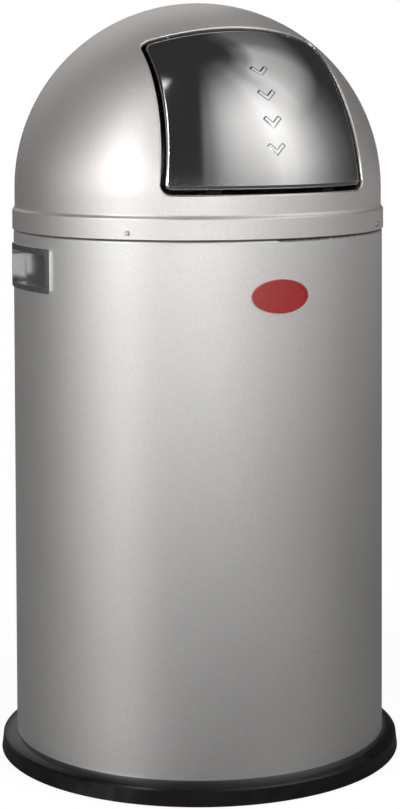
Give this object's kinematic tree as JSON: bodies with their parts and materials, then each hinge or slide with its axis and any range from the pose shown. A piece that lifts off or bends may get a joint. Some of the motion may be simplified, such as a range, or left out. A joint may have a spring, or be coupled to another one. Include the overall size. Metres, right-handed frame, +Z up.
{
  "type": "push top bin",
  "caption": "Round steel kitchen bin with a domed lift-off lid, a sprung push flap, side carry handles, a black floor ring and a lift-out galvanised liner.",
  "frame": {"origin": "on the floor, on the axis of the round body", "axes": "+Z up, -Y towards the flap and the badge, +X to the right seen from the front, and the handles at +X and -X"},
  "size_m": [0.4027, 0.4028, 0.7523],
  "materials": {
    "body_paint": "fine metallic silver powder coat, satin",
    "polished_steel": "polished stainless",
    "black_plastic": "glossy moulded",
    "ring_plastic": "satin moulded",
    "zinc_steel": "bright zinc plate",
    "spring_steel": "oiled spring steel",
    "galvanised": "hot-dip galvanised spangle",
    "handle_metal": "polished and lightly satin",
    "badge_enamel": "gloss enamel",
    "black_steel": "black dip coat on pressed steel",
    "buffer_rubber": "moulded"
  },
  "bodies": {
    "body": {"body_shell": "body_paint", "base_plate": "zinc_steel", "base_ring": "black_plastic", "handle_right": "handle_metal", "handle_left": "handle_metal", "handle_strap_right": "zinc_steel", "handle_strap_left": "zinc_steel", "handle_screws": "zinc_steel", "badge": "badge_enamel", "badge_clips": "zinc_steel"},
    "liner": {"liner_wall": "galvanised", "liner_bottom": "galvanised", "liner_ears": "galvanised", "liner_rivets": "zinc_steel"},
    "lid": {"dome_cover": "body_paint", "locating_ring": "ring_plastic", "collar_screws": "zinc_steel", "collar_nuts": "zinc_steel", "hinge_bracket_right": "zinc_steel", "hinge_bracket_left": "zinc_steel", "hinge_pin": "zinc_steel", "pin_clips": "spring_steel", "torsion_spring_right": "spring_steel", "torsion_spring_left": "spring_steel", "flap_buffers": "buffer_rubber"},
    "flap": {"push_flap": "polished_steel", "flap_ears": "zinc_steel", "flap_stop_tabs": "black_steel"},
    "bail": {"bail": "zinc_steel", "bail_grip": "ring_plastic"}
  },
  "joints": [
    {"name": "liner_lift", "type": "slide", "parent": "body", "child": "liner", "axis": [0, 0, 1], "range_m": [0, 0.55]},
    {"name": "lid_lift", "type": "slide", "parent": "liner", "child": "lid", "axis": [0, 0, 1], "range_m": [0, 0.3]},
    {"name": "flap_hinge", "type": "hinge", "parent": "lid", "child": "flap", "pos_m": [0, -0.08308, 0.70297], "axis": [1, 0, 0], "range_deg": [0, 60], "stiffness_Nm_per_rad": 0.35, "springref_deg": -57.3, "deforming": ["torsion_spring_right", "torsion_spring_left"]},
    {"name": "bail_swing", "type": "hinge", "parent": "liner", "child": "bail", "pos_m": [0, 0, 0.517], "axis": [1, 0, 0], "range_deg": [0, 180]}
  ]
}
